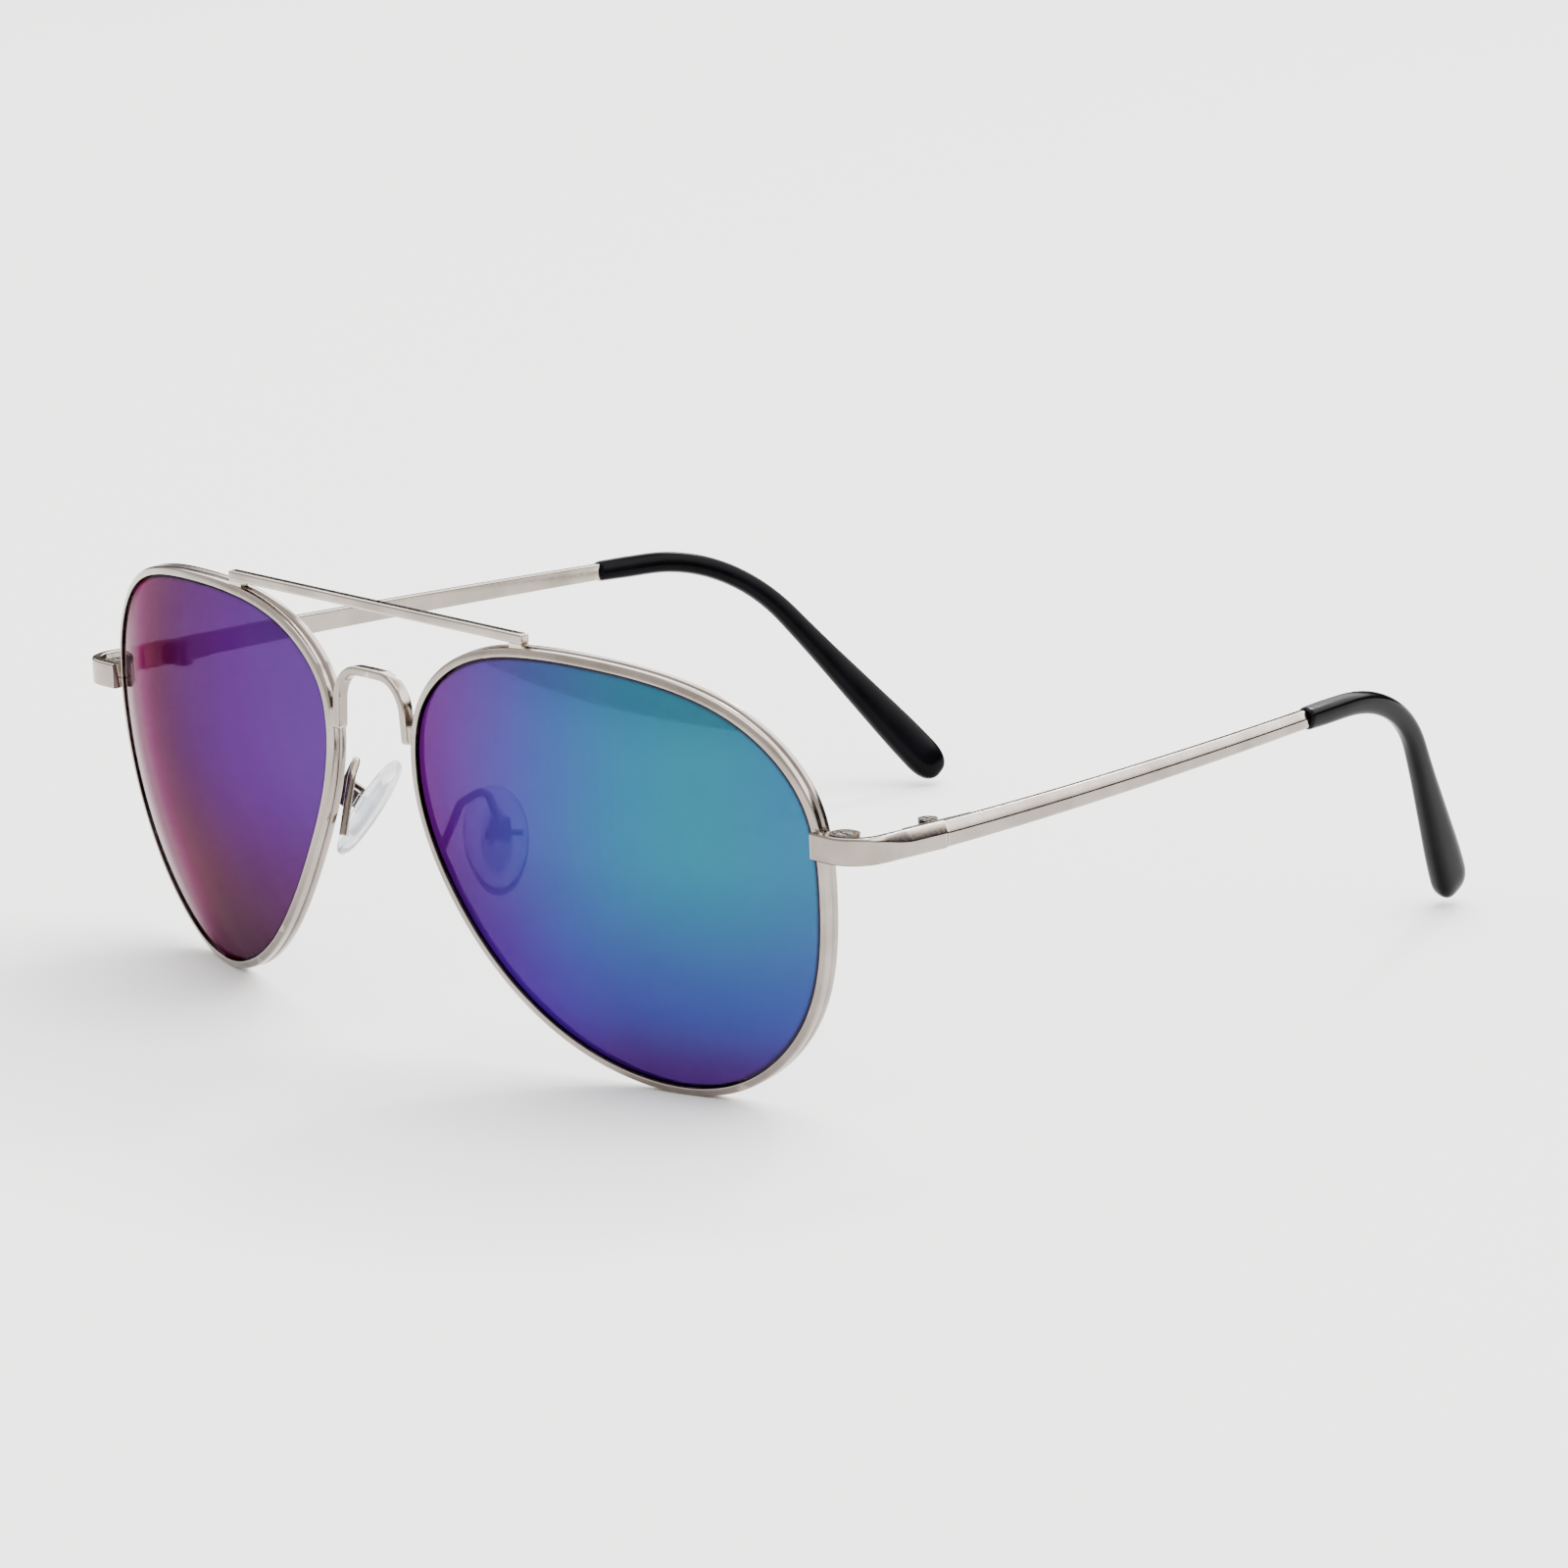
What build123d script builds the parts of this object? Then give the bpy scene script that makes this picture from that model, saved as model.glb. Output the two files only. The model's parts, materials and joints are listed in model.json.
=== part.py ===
"""Metal aviator sunglasses, as an assembly of separate pieces.

Frame: +Z up, the lenses face -Y, the open temples run to +Y, and +X is the wearer's left.
The glasses stand on the bottoms of their rims and on the ends of their temple tips.
Every paired piece is made for the wearer's left and mirrored for the right.
"""

import os
from math import cos, radians, sin, tan

from build123d import *

# ---------------------------------------------------------------- driving sizes, millimetres

# Rims and lenses
RIM_WIDTH = 60.5          # outside width of one rim
RIM_HEIGHT = 51.25        # outside height of one rim
LENS_SPACING = 76.0       # between the two lens centres
FACE_WRAP = 11.3          # degrees that each lens turns back towards its temple
LENS_LEAN = 5.4           # degrees that the top of each lens leans forwards
BASE_RADIUS = 90.0        # radius of the sphere that the rims and lenses lie on
RIM_LIP = 1.0             # width of the rim wire, seen from the front
RIM_DEPTH = 1.9           # depth of the rim wire, front to back
LENS_THICKNESS = 1.5
LENS_RECESS = 0.4         # lens front behind the rim front
BEVEL_DEPTH = 0.4         # how far the lens edge reaches into the rim groove
BEVEL_WIDTH = 0.8
LENS_CLEARANCE = 0.02     # between the lens and the rim, all round

# Where the hinge is
FRONT_WIDTH = 147.2       # outside width over the endpieces
SEAM_BACK = 22.9          # hinge seam behind the lens centres
HINGE_HEIGHT = 32.3       # hinge above the surface that the glasses stand on

# Endpieces and rim locks
ENDPIECE_HEIGHT = 3.1
ENDPIECE_THICKNESS = 1.25
ENDPIECE_BEND = 4.6       # outside radius of its corner
ENDPIECE_EDGE = 0.25      # rounding of its edges
ENDPIECE_FRONT = 9.1      # front of the plate behind the lens centres
PLATE_OVERLAP = 0.95      # how far the plate reaches over the rim, from the rim's outside
LOCK_LENGTH = 3.6         # sideways
LOCK_DEPTH = 3.6          # front to back
LOCK_HEIGHT = 2.9         # both halves with the gap between them
LOCK_GAP = 0.16           # between the two halves, and in the rim
LOCK_CORNER = 1.5         # rounding of its back corners
LOCK_SCREW_RADIUS = 0.6
LOCK_HEAD_RADIUS = 0.95
LOCK_HEAD_HEIGHT = 0.5
SLOT_SHARE = 0.3          # width of a screw's slot, as a share of its head's radius

# Hinges
KNUCKLE_RADIUS = 1.15
KNUCKLE_HEIGHT = 0.88
KNUCKLE_GAP = 0.05        # between two knuckles
HINGE_OFFSET = 1.9        # axis from the inside face of the temple
LEAF_THICKNESS = 0.5
LEAF_LENGTH = 5.0
LEAF_SEAM_GAP = 0.04      # each side of the seam
HINGE_SCREW_RADIUS = 0.5
HINGE_HEAD_RADIUS = 0.8
HINGE_HEAD_HEIGHT = 0.35
RUNNING_CLEARANCE = 0.04  # radial, screw in the moving knuckle
TIGHT_CLEARANCE = 0.01    # radial, screw in the pieces that it holds

# Temples
TEMPLE_LENGTH = 63.0      # metal bar, hinge seam to tip mouth, along Y
TEMPLE_HEIGHT = 2.9       # at the hinge
TEMPLE_END_HEIGHT = 2.1   # at the tip
TEMPLE_THICKNESS = 1.45
TEMPLE_EDGE = 0.3         # rounding of its long edges
TEMPLE_INWARD = 7.3       # how far the bar comes in between the hinge and the tip
TEMPLE_RISE = 0.75        # how far it rises
INWARD_POWER = 1.55       # 1 brings it in evenly, more brings it in towards the tip
CORE_RADIUS = 0.55        # wire that carries on inside the tip
CORE_CLEARANCE = 0.02
CORE_PAST_BEND = 3.0      # the wire ends this far past the bend
TEMPLE_STATIONS = (0, 0.35, 0.7, 1)   # shares of its length where its section is set

# Temple tips
TIP_STRAIGHT = 19.5       # tip mouth to the corner of the bend
TIP_BEND_RADIUS = 24.0
TIP_LEG_INWARD = 14.6     # the end is this far inside the corner
TIP_LEG_BACK = 22.9       # and this far behind it
TIP_END_HEIGHT = 1.2      # middle of the end above the surface
TIP_SECTIONS = (          # share of the length gone, and the thickness and width there
    (0.0, 2.5, 2.7), (0.1, 2.5, 2.7), (0.25, 2.1, 2.6), (0.42, 2.1, 2.6), (0.58, 2.4, 3.0),
    (0.75, 2.8, 4.25), (0.88, 3.2, 5.0), (0.96, 2.9, 4.4), (1.0, 1.6, 2.5),
)

# Bridge and brow bar
BRIDGE_HALF_SPAN = 6.55   # leg centres from the middle
BRIDGE_LEG_FOOT = 36.6    # bottom of the legs, above the surface
BRIDGE_TOP = 44.4         # top of the arch
BRIDGE_WIDTH = 1.1        # thickness of the flattened wire, seen from the front
BRIDGE_DEPTH = 1.6
BRIDGE_BEND = 4.0         # radius where the legs turn into the arch
BRIDGE_SPLAY = 0.6        # how far the legs lean in towards the arch
BRIDGE_EDGE = 0.25
BRIDGE_SET_BACK = -0.55   # middle of the wire behind the lens centres
BRIDGE_BLOCK = 2.0        # brazing block that reaches from each leg to its rim
BRIDGE_BLOCK_HEIGHT = 2.6
BRIDGE_BLOCK_DEPTH = 1.3
BROW_LENGTH = 55.6
BROW_SIZE = 1.2
BROW_DEPTH = 1.4
BROW_EDGE = 0.2
BROW_SET_BACK = 0.5       # middle of the bar behind the lens centres
BROW_LIFT = 0.1           # underside above the top of the rims
BROW_FOOT_DROP = 1.2      # foot from the bar down into the rim
BROW_FOOT_LENGTH = 2.3
BROW_FOOT_DEPTH = 1.1

# Nose pads
PAD_HEIGHT = 13.6
PAD_WIDTH = 7.6
PAD_THICKNESS = 2.2
PAD_EDGE = 0.8
PAD_PLACE = (12.2, 7.2, 24.6)     # middle of the pad: sideways, behind the lenses, height
PAD_UP = (-0.447, 0.328, 0.834)   # direction of the pad's long axis
PAD_FACE = (-0.727, 0.409, -0.552)  # direction that its face looks in
INSERT_THICKNESS = 0.7
INSERT_HEIGHT = 8.0
INSERT_WIDTH = 3.6
LUG_HEIGHT = 1.8          # of the insert's lug, along the pad
LUG_WIDTH = 1.3
LUG_ROUNDING = 0.8        # of the lug's far end
BOX_WALL = 0.55
BOX_HEIGHT = 2.6
BOX_CLEARANCE = 0.05      # each side of the lug
PIVOT_BACK = 2.6          # pad screw behind the middle of the pad
BOX_FLOOR_GAP = 0.2       # between the lug and the floor of the box
PAD_SCREW_RADIUS = 0.4
PAD_HEAD_RADIUS = 0.7
PAD_HEAD_HEIGHT = 0.4
PAD_SCREW_TAIL = 1.6      # screw beyond the box
ARM_RADIUS = 0.5
ARM_BEND = 1.2
ARM_UP_BOX = 0.65         # end of the arm above the middle of the box's floor
ARM_ROOT = (9.1, 0.9, 22.9)       # on the back of the rim: sideways, behind, height
ARM_RISE = (10.4, 3.6, 29.4)
ARM_TOP = (12.2, 6.0, 31.1)

# Outside of a rim, as shares of its half width (towards the temple) and half height (up)
RIM_SHAPE = (
    (0.998, 0.0), (0.949, 0.453), (0.678, 0.8), (0.324, 0.948), (0.0, 0.991),
    (-0.337, 0.988), (-0.734, 0.867), (-0.962, 0.601), (-0.988, 0.25), (-0.84, -0.176),
    (-0.529, -0.625), (-0.298, -0.824), (0.0, -0.968), (0.473, -0.968), (0.866, -0.589),
)

RIM_STATIONS = 24         # points that carry an inset copy of that outside

# ---------------------------------------------------------------- places worked out from them

OVERALL_DEPTH = SEAM_BACK + TEMPLE_LENGTH + TIP_STRAIGHT + TIP_LEG_BACK
LENS_Y = -OVERALL_DEPTH / 2
SEAM_Y = LENS_Y + SEAM_BACK
half_height = RIM_HEIGHT / 2
LENS_Z = half_height * cos(radians(LENS_LEAN)) - half_height ** 2 / (2 * BASE_RADIUS) * sin(
    radians(LENS_LEAN)
)
SIDE_X = FRONT_WIDTH / 2
INNER_X = SIDE_X - TEMPLE_THICKNESS
AXIS_X = INNER_X - HINGE_OFFSET

wrap = radians(FACE_WRAP)
lean = radians(LENS_LEAN)
lens_plane = Plane(
    origin=(LENS_SPACING / 2, LENS_Y, LENS_Z),
    x_dir=(cos(wrap), sin(wrap), 0),
    z_dir=(sin(wrap) * cos(lean), -cos(wrap) * cos(lean), -sin(lean)),
)
sphere_centre = lens_plane.offset(-BASE_RADIUS)


def place(point):
    """A point given sideways, behind the lens centres and above the standing surface."""
    return (point[0], LENS_Y + point[1], point[2])


def rim_face(inset):
    """Face inside the rim's outside line, moved in by inset."""
    corners = [(u * RIM_WIDTH / 2, v * RIM_HEIGHT / 2) for u, v in RIM_SHAPE]
    with BuildLine(mode=Mode.PRIVATE):
        outside = Spline(*corners, periodic=True)
    with BuildSketch(mode=Mode.PRIVATE) as face:
        with BuildLine():
            points = []
            for station in range(RIM_STATIONS):
                share = station / RIM_STATIONS
                inward = (outside % share).rotate(Axis.Z, 90)
                points.append(outside @ share + inward * inset)
            Spline(*points, periodic=True)
        make_face()
    return face.sketch


def shell_blank(inset, drop, thickness):
    """Solid inside the rim's outside line, between two spheres about the lens's own centre."""
    with BuildPart() as blank:
        with BuildSketch(lens_plane):
            add(rim_face(inset))
        extrude(amount=RIM_WIDTH / 3, both=True)
        with Locations(sphere_centre):
            Sphere(BASE_RADIUS - drop, rotation=(90, 0, 0), mode=Mode.INTERSECT)
            Sphere(BASE_RADIUS - drop - thickness, rotation=(90, 0, 0), mode=Mode.SUBTRACT)
    return blank.part


# ---------------------------------------------------------------- lens and rim

bevel_drop = RIM_DEPTH / 2 - BEVEL_WIDTH / 2

with BuildPart() as lens:
    add(shell_blank(RIM_LIP + LENS_CLEARANCE, LENS_RECESS, LENS_THICKNESS))
    add(
        shell_blank(
            RIM_LIP + LENS_CLEARANCE - BEVEL_DEPTH,
            bevel_drop + LENS_CLEARANCE,
            BEVEL_WIDTH - 2 * LENS_CLEARANCE,
        )
    )

lock_z = HINGE_HEIGHT - (ENDPIECE_HEIGHT - LOCK_HEIGHT) / 2
with BuildPart() as lock_slit:
    with Locations((SIDE_X, LENS_Y + ENDPIECE_FRONT, lock_z)):
        Box(RIM_WIDTH / 2, RIM_WIDTH / 2, LOCK_GAP)

rim_blank = shell_blank(0, 0, RIM_DEPTH)
with BuildPart() as rim:
    add(rim_blank)
    add(shell_blank(RIM_LIP, 0, RIM_DEPTH), mode=Mode.SUBTRACT)
    add(shell_blank(RIM_LIP - BEVEL_DEPTH, bevel_drop, BEVEL_WIDTH), mode=Mode.SUBTRACT)
    add(lock_slit.part, mode=Mode.SUBTRACT)

# ---------------------------------------------------------------- endpiece and rim lock

with BuildPart() as rim_by_lock:
    add(rim.part)
    with Locations((0, 0, lock_z)):
        Box(2 * FRONT_WIDTH, 2 * OVERALL_DEPTH, ENDPIECE_HEIGHT, mode=Mode.INTERSECT)
rim_edge_x = rim_by_lock.part.bounding_box().max.X
plate_y = LENS_Y + ENDPIECE_FRONT
plate_back_y = plate_y + ENDPIECE_THICKNESS
plate_start_x = rim_edge_x - PLATE_OVERLAP

with BuildPart() as endpiece:
    with BuildSketch(Plane.XY.offset(HINGE_HEIGHT)):
        with BuildLine():
            outside = FilletPolyline(
                (plate_start_x, plate_y),
                (SIDE_X, plate_y),
                (SIDE_X, SEAM_Y - LEAF_SEAM_GAP),
                radius=ENDPIECE_BEND,
            )
            inside = FilletPolyline(
                (plate_start_x, plate_back_y),
                (SIDE_X - ENDPIECE_THICKNESS, plate_back_y),
                (SIDE_X - TEMPLE_THICKNESS, SEAM_Y - LEAF_SEAM_GAP),
                radius=ENDPIECE_BEND - ENDPIECE_THICKNESS,
            )
            Line(outside @ 0, inside @ 0)
            Line(outside @ 1, inside @ 1)
        make_face()
    extrude(amount=ENDPIECE_HEIGHT / 2, both=True)
    fillet(faces().filter_by(Axis.Z).edges(), ENDPIECE_EDGE)
    add(rim_blank, mode=Mode.SUBTRACT)

lock_x = rim_edge_x - RIM_LIP / 2 + LOCK_LENGTH / 2
lock_y = plate_back_y + LOCK_DEPTH / 2
lock_screw_x = rim_edge_x + LOCK_LENGTH / 2 - RIM_LIP / 4


def lock_half(bottom, height, hole_radius):
    """One half of the rim lock: a rounded block brazed to the rim, with the screw's hole."""
    with BuildPart() as half:
        with BuildSketch(Plane.XY.offset(bottom)):
            with Locations((lock_x, lock_y)):
                Rectangle(LOCK_LENGTH, LOCK_DEPTH)
            back_corners = vertices().group_by(Axis.Y)[-1]
            fillet(back_corners, LOCK_CORNER)
        extrude(amount=height)
        add(rim_blank, mode=Mode.SUBTRACT)
        add(endpiece.part, mode=Mode.SUBTRACT)
        with Locations((lock_screw_x, lock_y, bottom + height / 2)):
            Cylinder(hole_radius, height * 2, mode=Mode.SUBTRACT)
    return half.part


half_block = (LOCK_HEIGHT - LOCK_GAP) / 2
lock_top = lock_z + LOCK_HEIGHT / 2
with BuildPart() as rim_lock_upper:
    add(lock_half(lock_z + LOCK_GAP / 2, half_block, LOCK_SCREW_RADIUS + RUNNING_CLEARANCE))
    with Locations((lock_screw_x, lock_y, lock_top)):
        Cylinder(
            LOCK_HEAD_RADIUS + RUNNING_CLEARANCE, 2 * LOCK_HEAD_HEIGHT, mode=Mode.SUBTRACT
        )

with BuildPart() as rim_lock_lower:
    add(lock_half(lock_z - LOCK_HEIGHT / 2, half_block, LOCK_SCREW_RADIUS + TIGHT_CLEARANCE))


def slotted_screw(plane, head_radius, head_height, shank_radius, length):
    """Screw with its head's top on the plane, its shank going down, and a slot across."""
    with BuildPart() as screw:
        with BuildSketch(plane):
            Circle(head_radius)
        extrude(amount=-head_height)
        with BuildSketch(plane):
            Circle(shank_radius)
        extrude(amount=-length)
        with BuildSketch(plane):
            Rectangle(head_radius * 4, head_radius * SLOT_SHARE)
        extrude(amount=-head_height / 2, mode=Mode.SUBTRACT)
    return screw.part


with BuildPart() as rim_screw:
    add(
        slotted_screw(
            Plane((lock_screw_x, lock_y, lock_top)),
            LOCK_HEAD_RADIUS,
            LOCK_HEAD_HEIGHT,
            LOCK_SCREW_RADIUS,
            LOCK_HEIGHT,
        )
    )

# ---------------------------------------------------------------- hinge

hinge_height = 3 * KNUCKLE_HEIGHT + 2 * KNUCKLE_GAP
hinge_bottom = HINGE_HEIGHT - hinge_height / 2
knuckle_step = KNUCKLE_HEIGHT + KNUCKLE_GAP


def hinge_leaf(direction, levels, hole_radius):
    """Leaf on the inside of the endpiece (direction -1) or the temple (+1), with its knuckles."""
    seam_edge = SEAM_Y + direction * LEAF_SEAM_GAP
    with BuildPart() as leaf:
        with BuildSketch(Plane.XY.offset(hinge_bottom)):
            with Locations((INNER_X - LEAF_THICKNESS / 2, seam_edge + direction * LEAF_LENGTH / 2)):
                Rectangle(LEAF_THICKNESS, LEAF_LENGTH)
        extrude(amount=hinge_height)
        for level in levels:
            with BuildSketch(Plane.XY.offset(hinge_bottom + level * knuckle_step)):
                with Locations((AXIS_X, SEAM_Y)):
                    Circle(KNUCKLE_RADIUS)
                web_length = INNER_X - AXIS_X - LEAF_THICKNESS / 2
                web_width = KNUCKLE_RADIUS - LEAF_SEAM_GAP
                web_y = SEAM_Y + direction * (LEAF_SEAM_GAP + web_width / 2)
                with Locations((AXIS_X + web_length / 2, web_y)):
                    Rectangle(web_length, web_width)
            extrude(amount=KNUCKLE_HEIGHT)
        with Locations((AXIS_X, SEAM_Y, HINGE_HEIGHT)):
            Cylinder(hole_radius, hinge_height * 2, mode=Mode.SUBTRACT)
    return leaf.part


with BuildPart() as hinge_front_leaf:
    add(hinge_leaf(-1, (0, 2), HINGE_SCREW_RADIUS + TIGHT_CLEARANCE))
    with Locations((AXIS_X, SEAM_Y, hinge_bottom + hinge_height)):
        Cylinder(
            HINGE_HEAD_RADIUS + TIGHT_CLEARANCE, 2 * HINGE_HEAD_HEIGHT, mode=Mode.SUBTRACT
        )

with BuildPart() as hinge_screw:
    add(
        slotted_screw(
            Plane((AXIS_X, SEAM_Y, hinge_bottom + hinge_height)),
            HINGE_HEAD_RADIUS,
            HINGE_HEAD_HEIGHT,
            HINGE_SCREW_RADIUS,
            hinge_height,
        )
    )

# ---------------------------------------------------------------- temple and its tip

bar_x = SIDE_X - TEMPLE_THICKNESS / 2
mouth = Vector(
    bar_x - TEMPLE_INWARD, SEAM_Y + TEMPLE_LENGTH, HINGE_HEIGHT + TEMPLE_RISE
)
end_slope = INWARD_POWER * TEMPLE_INWARD / TEMPLE_LENGTH
seam_end = SEAM_Y + LEAF_SEAM_GAP
bar_run = TEMPLE_LENGTH - LEAF_SEAM_GAP
straight_run = Vector(-end_slope, 1, 0).normalized()
corner = mouth + straight_run * TIP_STRAIGHT
leg_drop = corner.Z - TIP_END_HEIGHT
leg_run = Vector(-TIP_LEG_INWARD, TIP_LEG_BACK, -leg_drop).normalized()
tip_end = corner + Vector(-TIP_LEG_INWARD, TIP_LEG_BACK, -leg_drop)
bend_normal = straight_run.cross(leg_run).normalized()
core_start = mouth - straight_run * TEMPLE_THICKNESS
bend_angle = radians(straight_run.get_angle(leg_run))
core_end = corner + leg_run * (TIP_BEND_RADIUS * tan(bend_angle / 2) + CORE_PAST_BEND)

with BuildLine() as tip_path:
    FilletPolyline(mouth, corner, tip_end, radius=TIP_BEND_RADIUS)

with BuildPart() as temple:
    for share in TEMPLE_STATIONS:
        height = TEMPLE_HEIGHT + (TEMPLE_END_HEIGHT - TEMPLE_HEIGHT) * share
        inward = TEMPLE_INWARD * share ** INWARD_POWER
        slope = INWARD_POWER * TEMPLE_INWARD / TEMPLE_LENGTH * share ** (INWARD_POWER - 1)
        centre = Vector(
            bar_x - inward, seam_end + bar_run * share, HINGE_HEIGHT + TEMPLE_RISE * share
        )
        with BuildSketch(Plane(origin=centre, x_dir=(1, slope, 0), z_dir=(-slope, 1, 0))):
            RectangleRounded(TEMPLE_THICKNESS, height, TEMPLE_EDGE)
    loft()
    with BuildLine():
        FilletPolyline(core_start, corner, core_end, radius=TIP_BEND_RADIUS)
    with BuildSketch(Plane(origin=core_start, z_dir=straight_run)):
        Circle(CORE_RADIUS)
    sweep()

# The leaf is let into the inside of the temple, which curves away from it
with BuildPart() as hinge_temple_leaf:
    add(hinge_leaf(1, (1,), HINGE_SCREW_RADIUS + RUNNING_CLEARANCE))
    add(temple.part, mode=Mode.SUBTRACT)

with BuildPart() as temple_tip:
    for share, thickness, width in TIP_SECTIONS:
        station = Plane(
            origin=tip_path.line @ share, x_dir=bend_normal, z_dir=tip_path.line % share
        )
        with BuildSketch(station):
            Ellipse(thickness / 2, width / 2)
    loft()
    with BuildLine():
        FilletPolyline(core_start, corner, core_end, radius=TIP_BEND_RADIUS)
    with BuildSketch(Plane(origin=core_start, z_dir=straight_run)):
        Circle(CORE_RADIUS + CORE_CLEARANCE)
    sweep(mode=Mode.SUBTRACT)

# ---------------------------------------------------------------- nose pad

pad_up = Vector(*PAD_UP).normalized()
pad_face = Vector(*PAD_FACE)
pad_face = (pad_face - pad_up * pad_face.dot(pad_up)).normalized()
pad_across = pad_up.cross(pad_face)
pad_middle = Vector(*place(PAD_PLACE))
pad_plane = Plane(origin=pad_middle, x_dir=pad_across, z_dir=pad_face)
pivot = pad_middle - pad_face * PIVOT_BACK
pad_back = PAD_THICKNESS / 2
lug_end = PIVOT_BACK + LUG_HEIGHT / 2
box_floor = lug_end + BOX_FLOOR_GAP
ear_inside = LUG_WIDTH / 2 + BOX_CLEARANCE
box_width = 2 * (ear_inside + BOX_WALL)
ear_tip = pad_back + BOX_WALL

with BuildPart() as pad_insert:
    with BuildSketch(pad_plane):
        Ellipse(INSERT_WIDTH / 2, INSERT_HEIGHT / 2)
    extrude(amount=-INSERT_THICKNESS / 2, both=True)
    with BuildSketch(pad_plane):
        Rectangle(LUG_WIDTH, LUG_HEIGHT)
    extrude(amount=-lug_end)
    lug_edges = edges().filter_by(lambda edge: abs(edge.length - LUG_WIDTH) < 0.001)
    fillet(lug_edges.sort_by(Axis(pad_middle, -pad_face))[-2:], LUG_ROUNDING)
    with Locations(Plane(origin=pivot, z_dir=pad_across)):
        Cylinder(PAD_SCREW_RADIUS + RUNNING_CLEARANCE, LUG_WIDTH * 3, mode=Mode.SUBTRACT)

with BuildPart() as nose_pad:
    with BuildSketch(pad_plane):
        Ellipse(PAD_WIDTH / 2, PAD_HEIGHT / 2)
    extrude(amount=PAD_THICKNESS / 2, both=True)
    fillet(edges(), PAD_EDGE)
    with BuildSketch(pad_plane):
        Ellipse(INSERT_WIDTH / 2, INSERT_HEIGHT / 2)
    extrude(amount=-INSERT_THICKNESS / 2, both=True, mode=Mode.SUBTRACT)
    with BuildSketch(pad_plane):
        Rectangle(LUG_WIDTH, LUG_HEIGHT)
    extrude(amount=-lug_end, mode=Mode.SUBTRACT)

with BuildPart() as pad_box:
    with BuildSketch(pad_plane.offset(-ear_tip)):
        Rectangle(box_width, BOX_HEIGHT)
    extrude(amount=-(box_floor + BOX_WALL - ear_tip))
    with BuildSketch(pad_plane.offset(-ear_tip)):
        Rectangle(2 * ear_inside, BOX_HEIGHT * 2)
    extrude(amount=-(box_floor - ear_tip), mode=Mode.SUBTRACT)
    with Locations(Plane(origin=pivot, z_dir=pad_across)):
        Cylinder(PAD_SCREW_RADIUS + TIGHT_CLEARANCE, box_width * 2, mode=Mode.SUBTRACT)

with BuildPart() as pad_screw:
    head_top = pivot + pad_across * (box_width / 2 + PAD_HEAD_HEIGHT)
    add(
        slotted_screw(
            Plane(origin=head_top, z_dir=pad_across),
            PAD_HEAD_RADIUS,
            PAD_HEAD_HEIGHT,
            PAD_SCREW_RADIUS,
            PAD_HEAD_HEIGHT + box_width + PAD_SCREW_TAIL,
        )
    )

arm_root = Vector(*place(ARM_ROOT))
arm_rise = Vector(*place(ARM_RISE))
arm_top = Vector(*place(ARM_TOP))
arm_end = pad_middle - pad_face * (box_floor + BOX_WALL / 2) + pad_up * ARM_UP_BOX
with BuildPart() as pad_arm:
    with BuildLine():
        FilletPolyline(arm_root, arm_rise, arm_top, arm_end, radius=ARM_BEND)
    with BuildSketch(Plane(origin=arm_root, z_dir=(arm_rise - arm_root).normalized())):
        Circle(ARM_RADIUS)
    sweep()
    add(rim_blank, mode=Mode.SUBTRACT)
    add(pad_box.part, mode=Mode.SUBTRACT)

# ---------------------------------------------------------------- bridge and brow bar

# Filled space of one rim, deep enough to clear anything brazed across it
rim_clearing = shell_blank(0, -RIM_DEPTH, 3 * RIM_DEPTH)
arch_z = BRIDGE_TOP - BRIDGE_WIDTH / 2
bridge_plane = Plane(origin=(0, LENS_Y + BRIDGE_SET_BACK, 0), x_dir=(1, 0, 0), z_dir=(0, -1, 0))
with BuildPart() as nose_bridge:
    with BuildSketch(bridge_plane):
        for half in (BRIDGE_WIDTH / 2, -BRIDGE_WIDTH / 2):
            with BuildLine():
                arch = FilletPolyline(
                    (-BRIDGE_HALF_SPAN - half, BRIDGE_LEG_FOOT),
                    (-BRIDGE_HALF_SPAN - half + BRIDGE_SPLAY, arch_z + half),
                    (BRIDGE_HALF_SPAN + half - BRIDGE_SPLAY, arch_z + half),
                    (BRIDGE_HALF_SPAN + half, BRIDGE_LEG_FOOT),
                    radius=BRIDGE_BEND + half,
                )
                Line(arch @ 0, arch @ 1)
            make_face(mode=Mode.ADD if half > 0 else Mode.SUBTRACT)
    extrude(amount=BRIDGE_DEPTH / 2, both=True)
    fillet(faces().filter_by(Axis.Y).edges(), BRIDGE_EDGE)
    for side in (-1, 1):
        with Locations(
            (
                side * (BRIDGE_HALF_SPAN + BRIDGE_BLOCK / 2),
                LENS_Y + BRIDGE_SET_BACK,
                BRIDGE_LEG_FOOT + BRIDGE_BLOCK_HEIGHT / 2,
            )
        ):
            Box(BRIDGE_BLOCK, BRIDGE_BLOCK_DEPTH, BRIDGE_BLOCK_HEIGHT)
    add(rim_clearing, mode=Mode.SUBTRACT)
    add(mirror(rim_clearing, about=Plane.YZ), mode=Mode.SUBTRACT)

rim_top = rim.part.bounding_box().max.Z
brow_z = rim_top + BROW_LIFT + BROW_SIZE / 2
brow_y = LENS_Y + BROW_SET_BACK
with BuildPart() as brow_bar:
    with Locations((0, brow_y, brow_z)):
        Box(BROW_LENGTH, BROW_DEPTH, BROW_SIZE)
    fillet(edges().filter_by(Axis.X), BROW_EDGE)

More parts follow.
